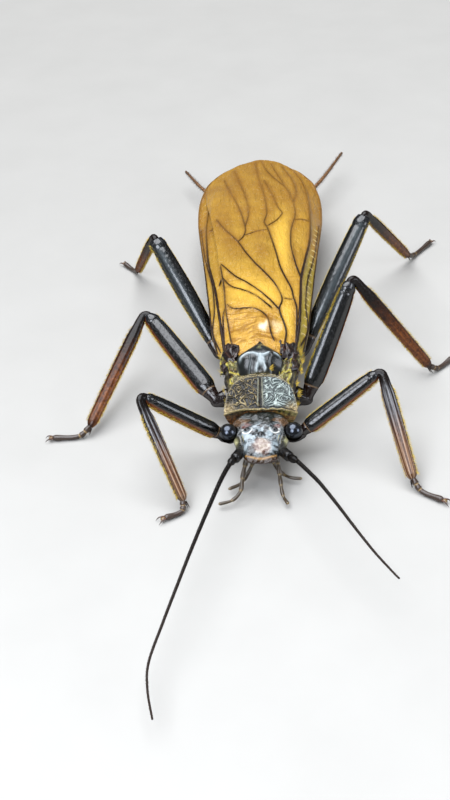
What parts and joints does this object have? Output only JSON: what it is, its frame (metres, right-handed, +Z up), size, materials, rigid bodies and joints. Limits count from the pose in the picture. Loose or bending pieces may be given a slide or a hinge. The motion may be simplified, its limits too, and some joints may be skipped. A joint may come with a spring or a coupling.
{
  "type": "fringed stonefly",
  "caption": "Life-size adult stonefly standing on six legs, amber wings folded flat over its back, long antennae and tail feelers.",
  "frame": {"origin": "middle of the bounding box, on the floor that the feet stand on", "axes": "+Z up, +Y from head to tail along the body, +X towards the insect's left"},
  "size_m": [0.0272, 0.0576, 0.008],
  "materials": {
    "head": "dark grey-black shell, glossy, with a pale brown face patch",
    "eye": "polished black, finely faceted",
    "labrum": "orange-brown, satin",
    "antenna": "black-brown, ringed, satin",
    "palp": "brown with pale joints, satin",
    "pronotum": "charcoal, wrinkled, with pale margins",
    "thorax": "black-brown shell with yellowish membrane between the plates",
    "abdomen": "brown, ringed, satin",
    "forewing": "amber membrane with dark brown veins, satin",
    "hindwing": "pale amber membrane with brown veins",
    "femur": "black, glossy, orange-brown along its lower edge, fringed with fine hairs",
    "tibia": "black-brown turning red-brown, ridged lengthways",
    "tarsus": "dark brown, satin",
    "cercus": "brown, ringed, hairy"
  },
  "bodies": {
    "root": {"abdomen": "abdomen", "antenna_base_l": "antenna", "antenna_base_r": "antenna", "antenna_far_l": "antenna", "antenna_far_r": "antenna", "antenna_near_l": "antenna", "antenna_near_r": "antenna", "cercus_l": "cercus", "cercus_r": "cercus", "coxa_front_l": "femur", "coxa_front_r": "femur", "coxa_hind_l": "femur", "coxa_hind_r": "femur", "coxa_mid_l": "femur", "coxa_mid_r": "femur", "eye_l": "eye", "eye_r": "eye", "femur_front_l": "femur", "femur_front_r": "femur", "femur_hind_l": "femur", "femur_hind_r": "femur", "femur_mid_l": "femur", "femur_mid_r": "femur", "forewing_l": "forewing", "forewing_r": "forewing", "head": "head", "hindwing_l": "hindwing", "hindwing_r": "hindwing", "labrum": "labrum", "mesothorax": "thorax", "metathorax": "thorax", "palp_labial_l": "palp", "palp_labial_r": "palp", "palp_maxillary_l": "palp", "palp_maxillary_r": "palp", "pronotum": "pronotum", "prothorax": "thorax", "tarsus_front_l": "tarsus", "tarsus_front_r": "tarsus", "tarsus_hind_l": "tarsus", "tarsus_hind_r": "tarsus", "tarsus_mid_l": "tarsus", "tarsus_mid_r": "tarsus", "tibia_front_l": "tibia", "tibia_front_r": "tibia", "tibia_hind_l": "tibia", "tibia_hind_r": "tibia", "tibia_mid_l": "tibia", "tibia_mid_r": "tibia"}
  },
  "joints": []
}
